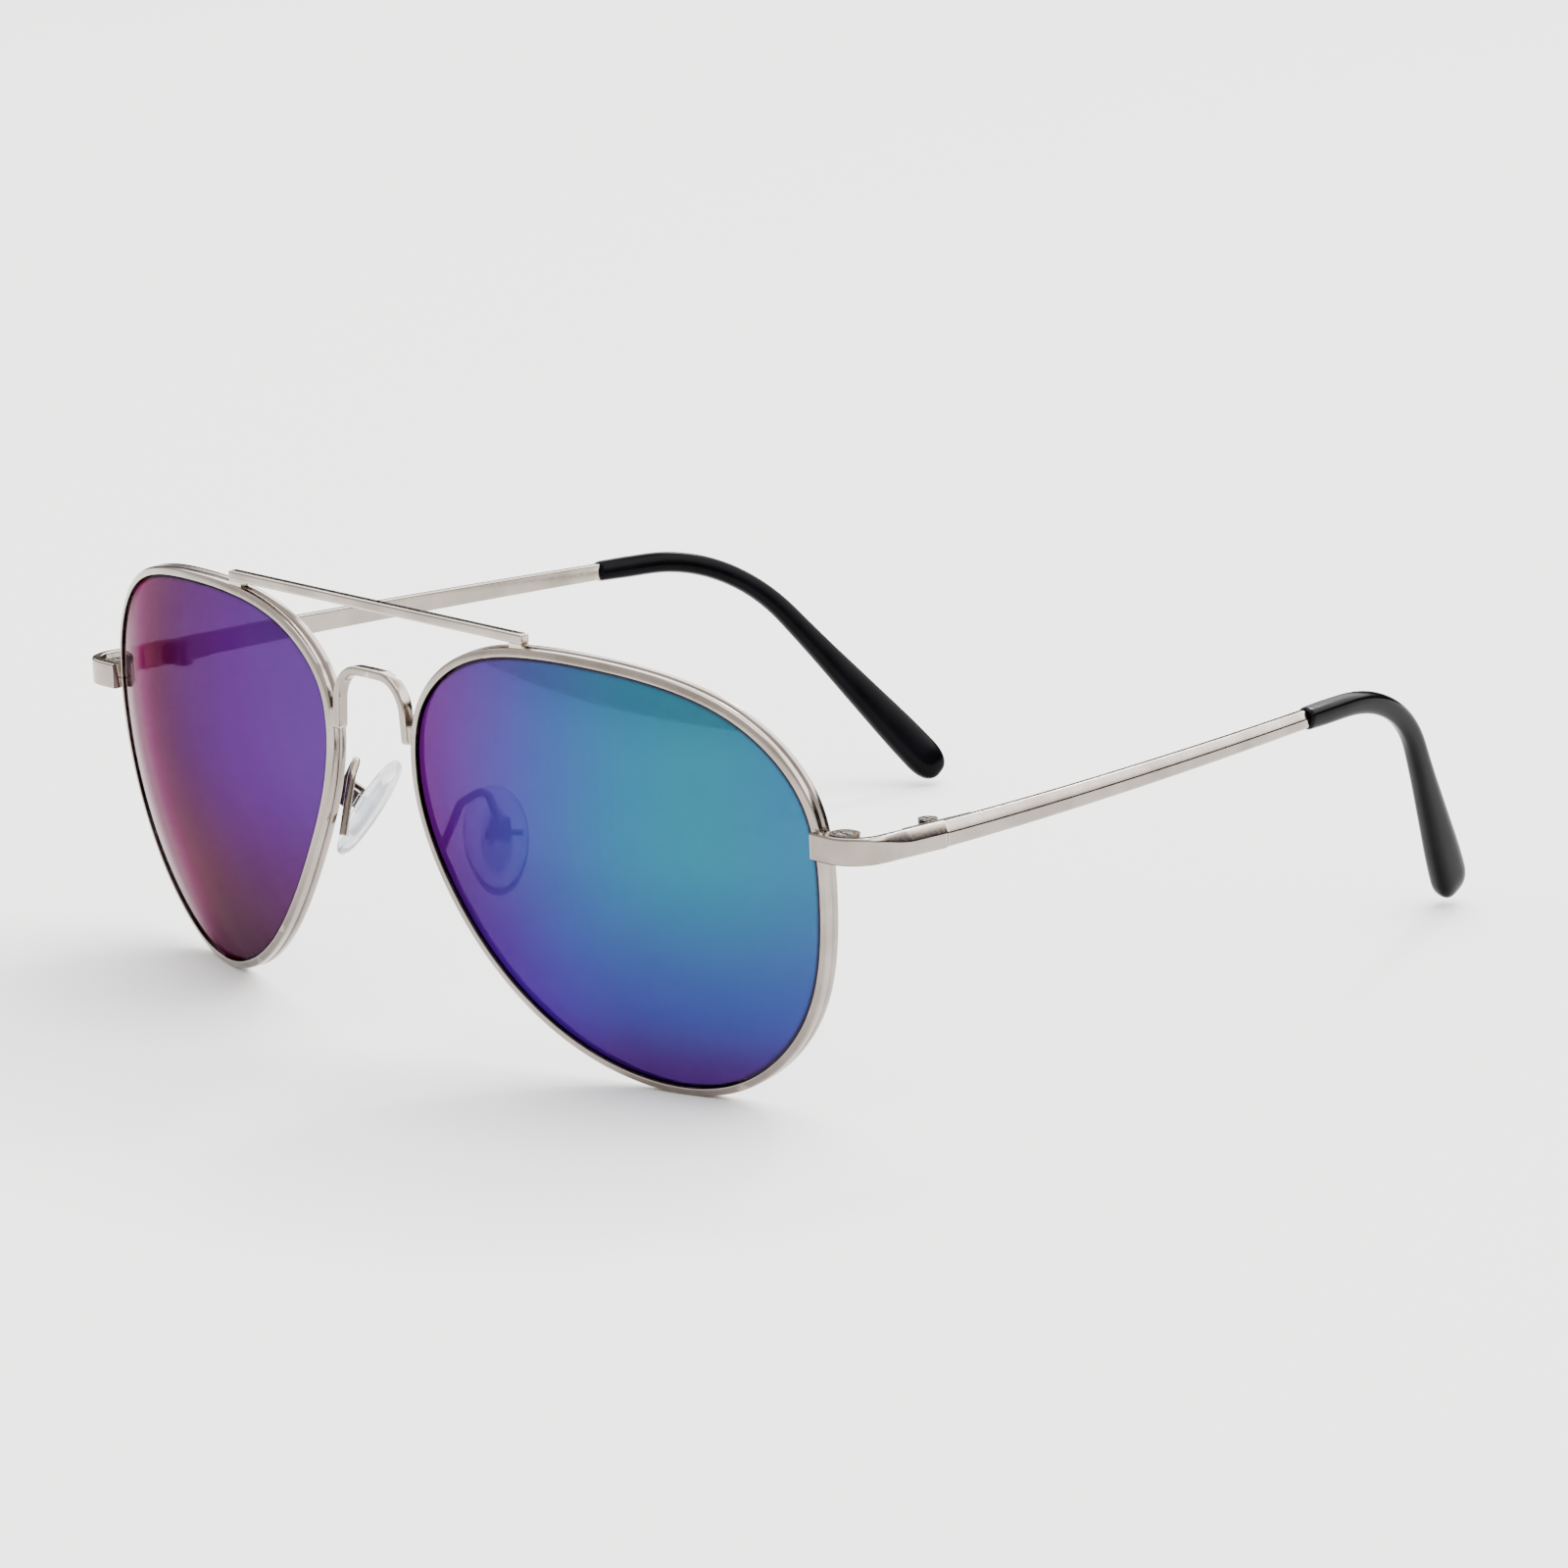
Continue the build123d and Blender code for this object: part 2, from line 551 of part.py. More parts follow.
with BuildPart() as brow_foot:
    with Locations((BROW_LENGTH / 2 - BROW_FOOT_LENGTH / 2, brow_y, brow_z - BROW_SIZE / 2)):
        Box(
            BROW_FOOT_LENGTH,
            BROW_FOOT_DEPTH,
            BROW_FOOT_DROP,
            align=(Align.CENTER, Align.CENTER, Align.MAX),
        )
    add(rim_clearing, mode=Mode.SUBTRACT)

# ---------------------------------------------------------------- names and files

os.makedirs("parts", exist_ok=True)

for name, piece in (("nose_bridge", nose_bridge), ("brow_bar", brow_bar)):
    piece.part.label = name
    export_step(piece.part, f"parts/{name}.step")

paired = {
    "rim": rim,
    "lens": lens,
    "endpiece": endpiece,
    "rim_lock_upper": rim_lock_upper,
    "rim_lock_lower": rim_lock_lower,
    "rim_screw": rim_screw,
    "brow_foot": brow_foot,
    "pad_arm": pad_arm,
    "pad_box": pad_box,
    "pad_screw": pad_screw,
    "pad_insert": pad_insert,
    "nose_pad": nose_pad,
    "hinge_front_leaf": hinge_front_leaf,
    "hinge_temple_leaf": hinge_temple_leaf,
    "hinge_screw": hinge_screw,
    "temple": temple,
    "temple_tip": temple_tip,
}
for name, piece in paired.items():
    piece.part.label = f"left_{name}"
    export_step(piece.part, f"parts/left_{name}.step")
    with BuildPart() as opposite:
        add(mirror(piece.part, about=Plane.YZ))
    opposite.part.label = f"right_{name}"
    export_step(opposite.part, f"parts/right_{name}.step")
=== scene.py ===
"""Aviator sunglasses, from the outside in: rims, lenses, bars, endpieces, hinges, temples, pads."""

import json

import bpy
import numpy as np
from mathutils import Matrix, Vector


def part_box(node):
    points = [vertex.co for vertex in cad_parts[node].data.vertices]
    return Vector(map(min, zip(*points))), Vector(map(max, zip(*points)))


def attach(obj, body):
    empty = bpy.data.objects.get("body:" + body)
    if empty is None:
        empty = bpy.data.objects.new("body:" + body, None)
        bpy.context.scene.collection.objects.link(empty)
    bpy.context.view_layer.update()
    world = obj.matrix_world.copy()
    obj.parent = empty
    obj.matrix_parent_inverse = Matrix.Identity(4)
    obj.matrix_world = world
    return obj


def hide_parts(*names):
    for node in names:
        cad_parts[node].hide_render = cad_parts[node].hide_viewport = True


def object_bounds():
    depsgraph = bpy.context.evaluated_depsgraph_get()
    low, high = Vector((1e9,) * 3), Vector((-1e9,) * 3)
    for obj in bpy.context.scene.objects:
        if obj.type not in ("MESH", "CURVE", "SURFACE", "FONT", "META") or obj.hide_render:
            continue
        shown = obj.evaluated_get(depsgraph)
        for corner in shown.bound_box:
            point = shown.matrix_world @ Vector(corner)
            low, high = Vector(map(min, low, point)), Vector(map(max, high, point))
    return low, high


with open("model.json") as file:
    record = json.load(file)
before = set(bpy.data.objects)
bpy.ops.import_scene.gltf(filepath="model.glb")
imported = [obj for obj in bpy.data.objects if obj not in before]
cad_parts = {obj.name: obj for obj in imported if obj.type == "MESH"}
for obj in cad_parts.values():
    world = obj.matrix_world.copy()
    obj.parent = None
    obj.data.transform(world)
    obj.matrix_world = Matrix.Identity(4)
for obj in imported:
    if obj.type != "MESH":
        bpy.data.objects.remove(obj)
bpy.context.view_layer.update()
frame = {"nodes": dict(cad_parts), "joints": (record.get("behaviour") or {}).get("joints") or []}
joints = {joint["name"]: joint for joint in frame["joints"]}

# ---------------------------------------------------------------------------- Camera
# A long lens at the wearer's front left, looking down by 13 degrees and rolled slightly to
# one side, as a packshot is taken.
FOCAL_LENGTH = 171.9           # millimetres
SENSOR_WIDTH = 36.0            # millimetres
CAMERA_PLACE = (0.67953, -0.57315, 0.23113)   # metres
azimuth, elevation, roll = np.radians([50.0, 13.42, -2.22])

back = np.array(
    [np.sin(azimuth) * np.cos(elevation), -np.cos(azimuth) * np.cos(elevation), np.sin(elevation)]
)
level = np.array([np.cos(azimuth), np.sin(azimuth), 0.0])
upright = np.cross(back, level)
right = np.cos(roll) * level + np.sin(roll) * upright
up = np.cos(roll) * upright - np.sin(roll) * level
camera_data = bpy.data.cameras.new("packshot_camera")
camera_data.lens = FOCAL_LENGTH
camera_data.sensor_width = SENSOR_WIDTH
camera_data.clip_end = 20
camera = bpy.data.objects.new("packshot_camera", camera_data)
turn = Matrix(np.column_stack([right, up, back]).tolist()).to_4x4()
camera.matrix_world = Matrix.Translation(CAMERA_PLACE) @ turn
bpy.context.scene.collection.objects.link(camera)
bpy.context.scene.camera = camera

# ---------------------------------------------------------------------------- Rims
# Each rim is a nickel-plated wire, drawn with a groove outside and a deeper one inside
# for the lens, bent to a teardrop on a sphere, and cut where the lock closes it.
MM = 0.001
SIDES = {"left": 1, "right": -1}
RIM_SIZE = np.array([60.5, 51.25]) * MM
RIM_KNOTS = (                  # across and up, as shares of half the rim
    (0.998, 0.0), (0.949, 0.453), (0.678, 0.8), (0.324, 0.948), (0.0, 0.991),
    (-0.337, 0.988), (-0.734, 0.867), (-0.962, 0.601), (-0.988, 0.25), (-0.84, -0.176),
    (-0.529, -0.625), (-0.298, -0.824), (0.0, -0.968), (0.473, -0.968), (0.866, -0.589),
)
SPHERE_RADIUS = 90.0 * MM
LENS_SPACING = 76.0 * MM
SEAM_BACK = 22.9 * MM          # hinge seam behind the lens centres
LOCK_SLIT = 0.16 * MM
LOCK_SAG = 5.2 * MM            # fall of the sphere from its middle out to the lock
wrap, lean = np.radians([11.3, 5.4])
hinge_at = np.array(joints["left_temple_fold"]["pos_m"])
lens_y = hinge_at[1] - SEAM_BACK
half_height = RIM_SIZE[1] / 2
lens_z = half_height * np.cos(lean) - half_height**2 / (2 * SPHERE_RADIUS) * np.sin(lean)
lens_centre = np.array([LENS_SPACING / 2, lens_y, lens_z])
lens_across = np.array([np.cos(wrap), np.sin(wrap), 0.0])
lens_front = np.array(
    [np.sin(wrap) * np.cos(lean), -np.cos(wrap) * np.cos(lean), -np.sin(lean)]
)
lens_up = np.cross(lens_front, lens_across)


def closed_curve(knots, count):
    """Periodic cubic spline through the knots, over the length of the chords between them.

    On each chord it is the straight line plus (a^3 - a) and (b^3 - b) times the bends at its
    two ends, where a and b are the shares still to go and gone. The bends solve the linear
    system that makes the slope run on through every knot.
    """
    knots = np.asarray(knots, float)
    total = len(knots)
    following = np.roll(knots, -1, 0)
    chord = np.linalg.norm(following - knots, axis=1)
    before = np.roll(chord, 1)
    unit = np.eye(total)
    system = 2 * (before + chord)[:, None] * unit
    system += chord[:, None] * np.roll(unit, 1, axis=1)
    system += before[:, None] * np.roll(unit, -1, axis=1)
    slope = (following - knots) / chord[:, None]
    bends = np.linalg.solve(system, 6 * (slope - np.roll(slope, 1, 0)))
    start = np.concatenate([[0.0], np.cumsum(chord)])
    along = np.linspace(0, start[-1], count, endpoint=False)
    span = np.clip(np.searchsorted(start, along, side="right") - 1, 0, total - 1)
    gone = ((along - start[span]) / chord[span])[:, None]
    left = 1 - gone
    end = (span + 1) % total
    curve = left * knots[span] + gone * knots[end]
    pull = (left**3 - left) * bends[span] + (gone**3 - gone) * bends[end]
    return curve + pull * (chord[span] ** 2)[:, None] / 6


def soft_polygon(corners, radii, steps=6):
    """Closed profile: each corner becomes a short quadratic curve that starts and ends a
    radius away from it, (1-t)^2 of its start, 2t(1-t) of the corner and t^2 of its end."""
    corners = np.asarray(corners, float)
    radii = np.broadcast_to(np.asarray(radii, float), len(corners))[:, None]
    to_last = np.roll(corners, 1, 0) - corners
    to_next = np.roll(corners, -1, 0) - corners
    start = corners + radii * to_last / np.linalg.norm(to_last, axis=1)[:, None]
    end = corners + radii * to_next / np.linalg.norm(to_next, axis=1)[:, None]
    share = np.linspace(0, 1, steps)[None, :, None]
    curve = (1 - share) ** 2 * start[:, None] + 2 * share * (1 - share) * corners[:, None]
    return (curve + share**2 * end[:, None]).reshape(-1, 2)


def piece_from_grid(name, grid, sharp=35.0):
    """Mesh of a grid of points, row by row along the piece and closed around each row.

    Each end is a fan to the middle of its row. The faces are turned outwards if the volume
    that they enclose comes out negative.
    """
    rows, around = grid.shape[:2]
    start_middle = rows * around
    points = np.concatenate([grid.reshape(-1, 3), [grid[0].mean(0), grid[-1].mean(0)]])
    row = np.arange(rows - 1)[:, None] * around
    column = np.arange(around)
    beside = (column + 1) % around
    quads = np.stack(
        [row + column, row + beside, row + around + beside, row + around + column], axis=-1
    ).reshape(-1, 4)
    start_fan = np.stack([beside, column, np.full(around, start_middle)], axis=-1)
    end_row = (rows - 1) * around
    end_fan = np.stack(
        [end_row + column, end_row + beside, np.full(around, start_middle + 1)], axis=-1
    )
    faces = quads.tolist() + start_fan.tolist() + end_fan.tolist()
    triangles = np.concatenate([quads[:, [0, 1, 2]], quads[:, [0, 2, 3]], start_fan, end_fan])
    a, b, c = (points[triangles[:, k]] for k in range(3))
    if np.einsum("ij,ij->i", a, np.cross(b, c)).sum() < 0:
        faces = [face[::-1] for face in faces]
    mesh = bpy.data.meshes.new(name)
    mesh.from_pydata(points.tolist(), [], faces)
    mesh.shade_smooth()
    mesh.set_sharp_from_angle(angle=np.radians(sharp))
    piece = bpy.data.objects.new(name, mesh)
    bpy.context.scene.collection.objects.link(piece)
    return piece


def on_lens(flat, depth, side):
    """Place of points given across and up the lens, and as a depth behind its front sphere."""
    height = np.sqrt((SPHERE_RADIUS - depth) ** 2 - (flat**2).sum(-1)) - SPHERE_RADIUS
    place = lens_centre + flat[..., :1] * lens_across + flat[..., 1:] * lens_up
    return (place + height[..., None] * lens_front) * (side, 1, 1)


def linear(colour):
    """Linear colour, with alpha, of an sRGB hex value."""
    share = np.array([int(colour[k : k + 2], 16) for k in (1, 3, 5)]) / 255
    value = np.where(share <= 0.04045, share / 12.92, ((share + 0.055) / 1.055) ** 2.4)
    return (*value.tolist(), 1.0)


def node(material, kind, links=(), **settings):
    """Adds a node. settings are its properties or, by name or number, its inputs' values.
    links are (output socket of another node, name or number of this node's input)."""
    added = material.node_tree.nodes.new(kind)
    for key, value in settings.items():
        if hasattr(added, key):
            setattr(added, key, value)
        else:
            added.inputs[key.replace("_", " ")].default_value = value
    for source, socket in links:
        material.node_tree.links.new(source, added.inputs[socket])
    return added


def finish_surface(name, surface_links=(), **surface):
    """Adds a material's Principled shader and its output."""
    material = bpy.data.materials[name]
    shader = node(material, "ShaderNodeBsdfPrincipled", surface_links, **surface)
    node(material, "ShaderNodeOutputMaterial", [(shader.outputs[0], "Surface")])


def new_material(name):
    """A material with no nodes yet."""
    material = bpy.data.materials.new(name)
    material.use_nodes = True
    material.node_tree.nodes.clear()
    return material


def stops(ramp_node, colours):
    """Sets a colour ramp's stops from (place, hex colour) pairs."""
    ramp = ramp_node.color_ramp
    while len(ramp.elements) < len(colours):
        ramp.elements.new(0.5)
    for element, (place, colour) in zip(ramp.elements, colours):
        element.position = place
        element.color = linear(colour)


def plated_metal(name, bright, dull, smooth, worn):
    """Polished nickel plate on drawn nickel silver wire: bright and a little warm. Handling
    dulls it in soft patches, polishing leaves hair lines, and the plate thins on the edges."""
    metal = new_material(name)
    where = node(metal, "ShaderNodeTexCoord").outputs["Object"]
    patches = node(
        metal, "ShaderNodeTexNoise", [(where, "Vector")], Scale=1 / (6 * MM), Detail=3.0
    )
    hairlines = node(
        metal, "ShaderNodeTexNoise", [(where, "Vector")], Scale=1 / (0.35 * MM), Detail=4.0
    )
    tint = node(metal, "ShaderNodeValToRGB", [(patches.outputs[0], 0)])
    stops(tint, [(0.35, dull), (0.65, bright)])
    edge = node(metal, "ShaderNodeNewGeometry")
    rubbed = node(metal, "ShaderNodeValToRGB", [(edge.outputs["Pointiness"], 0)])
    stops(rubbed, [(0.5, "#000000"), (0.6, "#ffffff")])
    colour = node(
        metal, "ShaderNodeMix", [(rubbed.outputs[0], 0), (tint.outputs[0], 6)],
        data_type="RGBA",
    )
    colour.inputs[7].default_value = linear(worn)
    gloss = node(
        metal, "ShaderNodeMapRange", [(hairlines.outputs[0], "Value")],
        From_Min=0.3, From_Max=0.7, To_Min=smooth, To_Max=smooth * 1.9,
    )
    lines = node(
        metal, "ShaderNodeBump", [(hairlines.outputs[0], "Height")],
        Strength=0.04, Distance=0.02 * MM,
    )
    finish_surface(
        name,
        [(colour.outputs[2], "Base Color"), (gloss.outputs[0], "Roughness"),
         (lines.outputs[0], "Normal")],
        Metallic=1.0,
    )
    return metal


nickel = plated_metal("polished_nickel_plate", "#8f8680", "#7a716b", 0.1, "#b8ad9f")

outline = closed_curve(np.array(RIM_KNOTS) * RIM_SIZE / 2, 360)
heading = np.roll(outline, -1, 0) - np.roll(outline, 1, 0)
heading /= np.linalg.norm(heading, axis=1)[:, None]
inward = np.stack([-heading[:, 1], heading[:, 0]], axis=1)

# Corners of the drawn wire: in from the outline and back from the front of the rim.
wire_corners = np.array(
    [(0.0, 0.0), (0.0, 0.7), (0.32, 0.84), (0.32, 1.06), (0.0, 1.2), (0.0, 1.9), (1.0, 1.9),
     (1.0, 1.37), (0.6, 1.25), (0.6, 0.65), (1.0, 0.53), (1.0, 0.0)]
) * MM
wire_rounding = np.array([0.3, 0.1, 0.05, 0.05, 0.1, 0.3, 0.25, 0.08, 0.05, 0.05, 0.08, 0.25])
wire_profile = soft_polygon(wire_corners, wire_rounding * MM)

lock_height = (hinge_at[2] - lens_z) / np.cos(lean) - LOCK_SAG * np.sin(lean)
lock_station = np.argmin(np.abs(outline[:, 1] - lock_height) + (outline[:, 0] < 0))
wire_order = (lock_station + np.arange(len(outline) + 1)) % len(outline)
wire_path = outline[wire_order].copy()
wire_path[0] += heading[lock_station] * LOCK_SLIT / 2
wire_path[-1] -= heading[lock_station] * LOCK_SLIT / 2
wire_flat = wire_path[:, None] + wire_profile[None, :, :1] * inward[wire_order][:, None]
wire_depth = np.broadcast_to(wire_profile[:, 1], wire_flat.shape[:2])

for side_name, side in SIDES.items():
    rim = piece_from_grid(f"{side_name}_rim_wire", on_lens(wire_flat, wire_depth, side))
    rim.data.materials.append(nickel)
    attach(rim, "front")
    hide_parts(f"{side_name}_rim")

# ---------------------------------------------------------------------------- Lenses
# Each lens is tinted polycarbonate, its edge bevelled by grinding to sit in the rim, with a mirror
# coating on its front. Its colour from place to place is painted reflection: the coating's colour
# and the room it reflects, seen from one view, fixed to places on the lens.
LENS_EDGE = 1.03 * MM          # body of the lens inside the rim's outline
BEVEL_EDGE = 0.63 * MM         # point of its bevel
LENS_FRONT = 0.4 * MM          # both faces, behind the front of the rim
LENS_BACK = 1.9 * MM

# Rows of a face crowd towards its edge as the sine of an even angle. The edge has four rows,
# each given by how far in from the outline and how far back it lies.
face_share = np.sin(np.linspace(0.02, np.pi / 2, 40))
edge_rows = np.array([(LENS_EDGE, 0.57 * MM), (BEVEL_EDGE, 0.68 * MM), (BEVEL_EDGE, 1.22 * MM),
                      (LENS_EDGE, 1.33 * MM)])
body = outline + LENS_EDGE * inward
front_flat = face_share[:, None, None] * body
edge_flat = outline + edge_rows[:, 0][:, None, None] * inward
lens_flat = np.concatenate([front_flat, edge_flat, front_flat[::-1]])
lens_depth = np.concatenate(
    [np.full(len(face_share), LENS_FRONT), edge_rows[:, 1], np.full(len(face_share), LENS_BACK)]
)
lens_depth = np.broadcast_to(lens_depth[:, None], lens_flat.shape[:2])


def painted_reflection_mirror_coating(name, upper, lower, low_edge):
    """Vacuum-deposited mirror on the front of a lens: part coloured metal, part clear tint, so
    that the pad and arm behind it still show. Its colours are painted reflection: the coating's
    colour and the room it reflects, seen from one view, fixed to places on the lens. upper and
    lower are these painted colours from the nose outwards, and low_edge the colour of its last
    millimetres at the bottom. At the bevelled edge of the lens, inside the rim, a dark ring of
    painted shade stands in for the shade in the rim's groove. The noises run over the 60.5 by
    51.25 mm face: the colour drifts over about 27 mm, and dust is about 1.5 mm."""
    coating = new_material(name)
    place = node(coating, "ShaderNodeUVMap", uv_map="lens_face")
    parts = node(coating, "ShaderNodeSeparateXYZ", [(place.outputs[0], 0)])
    drift = node(coating, "ShaderNodeTexNoise", [(place.outputs[0], "Vector")], Scale=2.2)
    across = node(
        coating, "ShaderNodeMath", [(drift.outputs[0], 0), (parts.outputs[0], 2)],
        operation="MULTIPLY_ADD",
    )
    across.inputs[1].default_value = 0.12
    high = node(coating, "ShaderNodeValToRGB", [(across.outputs[0], 0)])
    stops(high, upper)
    high.color_ramp.interpolation = "B_SPLINE"
    low = node(coating, "ShaderNodeValToRGB", [(across.outputs[0], 0)])
    stops(low, lower)
    low.color_ramp.interpolation = "B_SPLINE"
    rise = node(
        coating, "ShaderNodeMapRange", [(parts.outputs[1], "Value")],
        interpolation_type="SMOOTHSTEP", From_Min=0.16, From_Max=0.62,
    )
    blend = node(
        coating, "ShaderNodeMix",
        [(rise.outputs[0], 0), (low.outputs[0], 6), (high.outputs[0], 7)], data_type="RGBA",
    )
    foot = node(
        coating, "ShaderNodeMapRange", [(parts.outputs[1], "Value")],
        interpolation_type="SMOOTHSTEP", From_Min=0.22, From_Max=0.04,
    )
    colour = node(
        coating, "ShaderNodeMix", [(foot.outputs[0], 0), (blend.outputs[2], 6)],
        data_type="RGBA",
    )
    colour.inputs[7].default_value = linear(low_edge)
    # Painted shade: the outermost rows of the lens face are darkened to #130e16. This stands in for
    # the shade in the rim's groove round the lens edge.
    rim_share = node(coating, "ShaderNodeAttribute", attribute_name="rim_share")
    groove_shade_mask = node(
        coating, "ShaderNodeMapRange", [(rim_share.outputs["Fac"], "Value")],
        interpolation_type="SMOOTHSTEP", From_Min=0.978, From_Max=0.992,
    )
    groove_shade_ring = node(
        coating, "ShaderNodeMix", [(groove_shade_mask.outputs[0], 0), (colour.outputs[2], 6)],
        data_type="RGBA",
    )
    groove_shade_ring.inputs[7].default_value = linear("#130e16")
    dust = node(
        coating, "ShaderNodeTexNoise", [(place.outputs[0], "Vector")], Scale=40.0, Detail=2.0
    )
    haze = node(
        coating, "ShaderNodeMapRange", [(dust.outputs[0], "Value")],
        From_Min=0.35, From_Max=0.75, To_Min=0.04, To_Max=0.06,
    )
    finish_surface(
        name,
        [(groove_shade_ring.outputs[2], "Base Color"), (haze.outputs[0], "Roughness")],
        Specular_Tint=linear("#a98d98"),
        Metallic=0.8, Transmission_Weight=1.0, IOR=1.02,
    )
    return coating


def tinted_polycarbonate():
    """Ground and tumbled polycarbonate: a smoke-violet body tint under a hard gloss."""
    name = "tinted_polycarbonate"
    plastic = new_material(name)
    where = node(plastic, "ShaderNodeTexCoord").outputs["Object"]
    swirl = node(plastic, "ShaderNodeTexNoise", [(where, "Vector")], Scale=1 / (9 * MM))
    tint = node(plastic, "ShaderNodeValToRGB", [(swirl.outputs[0], 0)])
    stops(tint, [(0.3, "#b9b2cc"), (0.7, "#c6bfd6")])
    finish_surface(
        name, [(tint.outputs[0], "Base Color")], Roughness=0.05, IOR=1.02,
        Transmission_Weight=1.0, Coat_Weight=0.5, Coat_Roughness=0.03,
    )
    return plastic


# Painted reflection: each lens's colour stops are the coating's colour and the room it reflects,
# seen from one view and fixed to places on the lens. So the two lenses differ, and their colours do
# not change with the view.
painted_reflection_coatings = {
    "left": painted_reflection_mirror_coating(
        "violet_to_teal_painted_reflection_mirror",
        [(0.06, "#451f48"), (0.24, "#35205d"), (0.42, "#1f2a6b"), (0.62, "#104861"),
         (0.84, "#104f5b"), (1.0, "#164562")],
        [(0.06, "#33114a"), (0.3, "#2c145a"), (0.5, "#1f1e66"), (0.8, "#1a276b"),
         (1.0, "#1e2968")],
        "#270a4c",
    ),
    "right": painted_reflection_mirror_coating(
        "rose_to_purple_painted_reflection_mirror",
        [(0.06, "#341855"), (0.34, "#361a52"), (0.6, "#3e1e48"), (0.8, "#503449"),
         (1.0, "#78666f")],
        [(0.06, "#36163e"), (0.4, "#3b1c38"), (0.7, "#4c333e"), (1.0, "#78686c")],
        "#381a2c",
    ),
}
polycarbonate = tinted_polycarbonate()
for side_name, side in SIDES.items():
    lens = piece_from_grid(f"{side_name}_mirror_lens", on_lens(lens_flat, lens_depth, side))
    end_middles = np.zeros((2, 2))
    flat = np.concatenate([lens_flat.reshape(-1, 2), end_middles])
    corners = np.empty(len(lens.data.loops), int)
    lens.data.loops.foreach_get("vertex_index", corners)
    rim_share = np.zeros(len(flat), np.float32)
    rim_share[: len(face_share) * len(outline)] = np.repeat(face_share, len(outline))
    lens.data.attributes.new("rim_share", "FLOAT", "POINT")
    lens.data.attributes["rim_share"].data.foreach_set("value", rim_share)
    face_map = lens.data.uv_layers.new(name="lens_face")
    face_map.data.foreach_set("uv", (flat[corners] / RIM_SIZE + 0.5).ravel())
    lens.data.materials.append(painted_reflection_coatings[side_name])
    lens.data.materials.append(polycarbonate)
    middles = np.empty(len(lens.data.polygons) * 3)
    lens.data.polygons.foreach_get("center", middles)
    sphere_middle = (lens_centre - SPHERE_RADIUS * lens_front) * (side, 1, 1)
    radius = np.linalg.norm(middles.reshape(-1, 3) - sphere_middle, axis=1)
    is_back = radius < SPHERE_RADIUS - (LENS_FRONT + LENS_BACK) / 2
    lens.data.polygons.foreach_set("material_index", is_back.astype(np.int32))
    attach(lens, "front")
    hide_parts(f"{side_name}_lens")

# ---------------------------------------------------------------------------- Brow bar
# A nickel bar, nearly square with softened edges, laid over both rims and brazed to a small foot
# at each end.
BAR_EDGE = 0.28 * MM
END_DRAW_IN = 0.35             # share of its size that a section loses at a rounded end


def round_path(corners, radius, count):
    """Path of straight runs joined by tangent arcs, at even steps. On each arc the spoke
    turns from one end to the other as sin((1-t)w) and sin(tw) of its two end spokes."""
    corners = np.asarray(corners, float)
    points = [corners[:1]]
    for last, corner, after in zip(corners[:-2], corners[1:-1], corners[2:]):
        start = (last - corner) / np.linalg.norm(last - corner)
        end = (after - corner) / np.linalg.norm(after - corner)
        half = np.arccos(start @ end) / 2
        middle = corner + (start + end) / np.linalg.norm(start + end) * radius / np.sin(half)
        reach = radius / np.tan(half)
        first = corner + start * reach - middle
        final = corner + end * reach - middle
        turned = np.pi - 2 * half
        share = np.linspace(0, 1, 16)[:, None]
        spoke = np.sin((1 - share) * turned) * first + np.sin(share * turned) * final
        points.append(middle + spoke / np.sin(turned))
    points = np.concatenate(points + [corners[-1:]])
    gone = np.concatenate([[0], np.cumsum(np.linalg.norm(np.diff(points, axis=0), axis=1))])
    even = np.linspace(0, gone[-1], count)
    return np.stack([np.interp(even, gone, points[:, k]) for k in range(3)], axis=1)


def carry(path, profile, towards):
    """Grid of a profile carried along a path. Its first axis keeps as close as it can to the
    direction towards, its second is square to that and to the path."""
    along = np.gradient(path, axis=0)
    along /= np.linalg.norm(along, axis=1)[:, None]
    first = towards - along * (along @ towards)[:, None]
    first /= np.linalg.norm(first, axis=1)[:, None]
    second = np.cross(along, first)
    profile = np.broadcast_to(profile, (len(path), *profile.shape[-2:]))
    return path[:, None] + profile[..., :1] * first[:, None] + profile[..., 1:] * second[:, None]


def rounded_ends(path, profile, length):
    """Copies of the profile for each step of the path, drawn in over its first and last
    length as the sine of an arc, so that the end edges come out rounded."""
    gone = np.concatenate([[0], np.cumsum(np.linalg.norm(np.diff(path, axis=0), axis=1))])
    near_end = np.clip(np.minimum(gone, gone[-1] - gone) / length, 0, 1)
    shrink = 1 - (1 - np.sqrt(1 - (1 - near_end) ** 2)) * END_DRAW_IN
    return profile[None] * shrink[:, None, None]


def end_steps(start, end, length, count=40):
    """Straight path from start to end with its steps crowded into the last length."""
    run = np.linalg.norm(end - start)
    crowd = length * (1 - np.cos(np.linspace(0, np.pi / 2, 6)))
    gone = np.concatenate([crowd, np.linspace(length, run - length, count)[1:-1],
                           run - crowd[::-1]])
    return start + (end - start) * (gone / run)[:, None]


low, high = (np.array(corner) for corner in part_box("brow_bar"))
middle = (low + high) / 2
bar_half = (high - low) / 2
square_corners = np.array([(-1, -1), (1, -1), (1, 1), (-1, 1)])
bar_profile = soft_polygon(square_corners * (bar_half[1], bar_half[2]), BAR_EDGE)
bar_path = end_steps(
    np.array([low[0], middle[1], middle[2]]), np.array([high[0], middle[1], middle[2]]), BAR_EDGE
)
bar = piece_from_grid(
    "brow_bar_rod",
    carry(bar_path, rounded_ends(bar_path, bar_profile, BAR_EDGE), np.array([0.0, 1.0, 0.0])),
)
bar.data.materials.append(nickel)
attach(bar, "front")
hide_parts("brow_bar")

